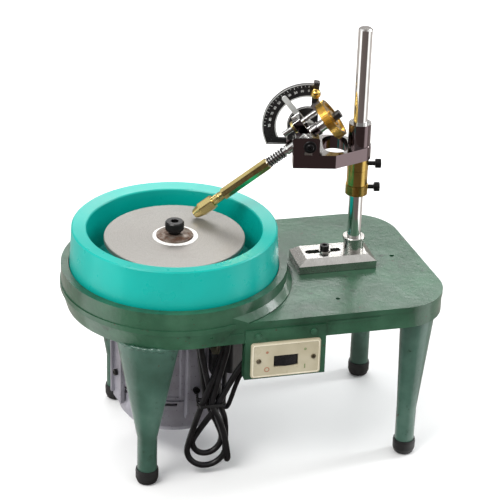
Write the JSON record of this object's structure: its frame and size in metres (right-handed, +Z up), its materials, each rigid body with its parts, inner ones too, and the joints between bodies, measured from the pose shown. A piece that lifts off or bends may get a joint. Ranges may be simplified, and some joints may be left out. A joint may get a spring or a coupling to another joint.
{
  "type": "faceting machine",
  "caption": "Bench faceting machine: cast table on legs, motor-driven horizontal lap in a splash bowl, and a mast with a tilting, indexing quill.",
  "frame": {"origin": "on the ground under the middle of the table", "axes": "+Z up along the mast, +X along the table from the lap to the mast, front (switch) towards -Y"},
  "size_m": [0.402, 0.244, 0.4672],
  "materials": {
    "green_paint": "hammered gloss enamel",
    "foot_rubber": "worn satin",
    "bowl_teal": "semi-gloss",
    "motor_alloy": "as cast, sanded",
    "laminations": "dark",
    "bright_steel": "satin ground",
    "black_steel": "black oxide",
    "fan_plastic": "matte",
    "lap_steel": "fine turned",
    "rusty_washer": "stained",
    "chrome": "polished",
    "brass": "polished, aged",
    "black_polish": "polished black",
    "screws": "satin",
    "ivory_plate": "aged gloss",
    "switch_black": "gloss",
    "cord_rubber": "satin",
    "tie_wire": "matte"
  },
  "bodies": {
    "frame": {"table_casting": "green_paint", "splash_bowl": "bowl_teal", "leg_front_left": "green_paint", "leg_front_right": "green_paint", "leg_rear_left": "green_paint", "leg_rear_right": "green_paint", "rubber_feet": "foot_rubber", "leg_studs": "black_steel", "motor_housing": "motor_alloy", "stator": "laminations", "motor_end_shields": "motor_alloy", "motor_bearings": "bright_steel", "motor_straps": "motor_alloy", "motor_bolts": "black_steel", "fan_cover": "motor_alloy", "terminal_box": "fan_plastic", "switch_bracket": "green_paint", "switch_plate": "ivory_plate", "switch_body": "fan_plastic", "switch_screws": "screws", "power_cord": "cord_rubber", "cord_hank": "cord_rubber", "power_plug": "cord_rubber", "cord_tie": "tie_wire", "cable_reliefs": "cord_rubber", "motor_lead": "cord_rubber"},
    "lap_spindle": {"motor_rotor": "bright_steel", "cooling_fan": "fan_plastic", "arbor_flange": "bright_steel", "lap_disc": "lap_steel", "lap_washer": "rusty_washer", "lap_screw": "black_steel"},
    "base_clamp": {"clamp_bush": "bright_steel", "clamp_screw": "black_steel"},
    "mast_post": {"mast_base": "bright_steel", "mast_socket": "bright_steel", "mast": "chrome"},
    "lock_ring": {"lock_collar": "brass"},
    "lower_thumb": {"lower_thumbscrew": "black_steel"},
    "adjuster": {"adjuster_sleeve": "brass"},
    "lift_ring": {"upper_collar": "brass"},
    "upper_thumb": {"upper_thumbscrew": "black_steel"},
    "arm": {"arm_slab": "chrome", "pivot_block": "chrome", "angle_dial": "black_polish", "dial_screws": "screws"},
    "stop": {"angle_stop": "black_polish", "stop_knob": "brass"},
    "head": {"quill_carrier": "black_polish", "angle_pointer": "chrome"},
    "plunger": {"index_plunger": "chrome", "plunger_collar": "brass"},
    "quill_rod": {"quill_spindle": "chrome", "index_wheel": "brass", "wheel_knob": "black_polish", "quill_spring": "black_polish"},
    "quill_holder": {"quill_sleeve": "brass", "collet": "brass"},
    "nut": {"collet_nut": "brass"},
    "rocker": {"switch_rocker": "switch_black"}
  },
  "joints": [
    {"name": "lap_spin", "type": "hinge", "parent": "frame", "child": "lap_spindle", "pos_m": [-0.079, 0, 0.24], "axis": [0, 0, 1], "continuous": true},
    {"name": "base_swivel", "type": "hinge", "parent": "frame", "child": "base_clamp", "pos_m": [0.088, 0, 0.2], "axis": [0, 0, 1], "range_deg": [-4, 4]},
    {"name": "base_slide", "type": "slide", "parent": "base_clamp", "child": "mast_post", "axis": [1, 0, 0], "range_m": [-0.005, 0.017]},
    {"name": "height_slide", "type": "slide", "parent": "mast_post", "child": "lock_ring", "axis": [0, 0, 1], "range_m": [0, 0.1]},
    {"name": "lower_thumb_turn", "type": "hinge", "parent": "lock_ring", "child": "lower_thumb", "pos_m": [0.1205, 0, 0.2863], "axis": [0.9767, -0.2147, 0], "range_deg": [0, 180]},
    {"name": "adjuster_turn", "type": "hinge", "parent": "lock_ring", "child": "adjuster", "pos_m": [0.1205, 0, 0.3], "axis": [0, 0, 1], "range_deg": [0, 720]},
    {"name": "fine_lift", "type": "slide", "parent": "lock_ring", "child": "lift_ring", "axis": [0, 0, 1], "range_m": [0, 0.003]},
    {"name": "upper_thumb_turn", "type": "hinge", "parent": "lift_ring", "child": "upper_thumb", "pos_m": [0.1205, 0, 0.3138], "axis": [0.9767, -0.2147, 0], "range_deg": [0, 180]},
    {"name": "arm_swing", "type": "hinge", "parent": "lift_ring", "child": "arm", "pos_m": [0.1205, 0, 0.34], "axis": [0, 0, 1], "range_deg": [-8, 34]},
    {"name": "stop_swing", "type": "hinge", "parent": "arm", "child": "stop", "pos_m": [0.06756, 0.01164, 0.3455], "axis": [0.2147, 0.9767, 0], "range_deg": [-29, 2]},
    {"name": "quill_tilt", "type": "hinge", "parent": "arm", "child": "head", "pos_m": [0.06756, 0.01164, 0.3455], "axis": [0.2147, 0.9767, 0], "range_deg": [0, 39]},
    {"name": "plunger_pull", "type": "slide", "parent": "head", "child": "plunger", "axis": [-0.7633, 0.1678, -0.6239], "range_m": [0, 0.0095], "stiffness_N_per_m": 300, "springref_m": -0.01},
    {"name": "quill_index", "type": "hinge", "parent": "head", "child": "quill_rod", "pos_m": [0.06756, 0.01164, 0.3455], "axis": [-0.7633, 0.1678, -0.6239], "continuous": true},
    {"name": "sleeve_slide", "type": "slide", "parent": "quill_rod", "child": "quill_holder", "axis": [0.7633, -0.1678, 0.6239], "range_m": [0, 0.0075], "stiffness_N_per_m": 250, "springref_m": -0.01, "deforming": ["quill_spring"]},
    {"name": "collet_nut_turn", "type": "hinge", "parent": "quill_holder", "child": "nut", "pos_m": [-0.0393, 0.03513, 0.25816], "axis": [-0.7633, 0.1678, -0.6239], "range_deg": [0, 360]},
    {"name": "switch_rock", "type": "hinge", "parent": "frame", "child": "rocker", "pos_m": [0.0155, -0.1105, 0.1518], "axis": [0, 0, 1], "range_deg": [-10, 10]}
  ],
  "couplings": [
    {"joint": "adjuster_turn", "follows": "fine_lift", "rad_per_m": 4188.4}
  ]
}
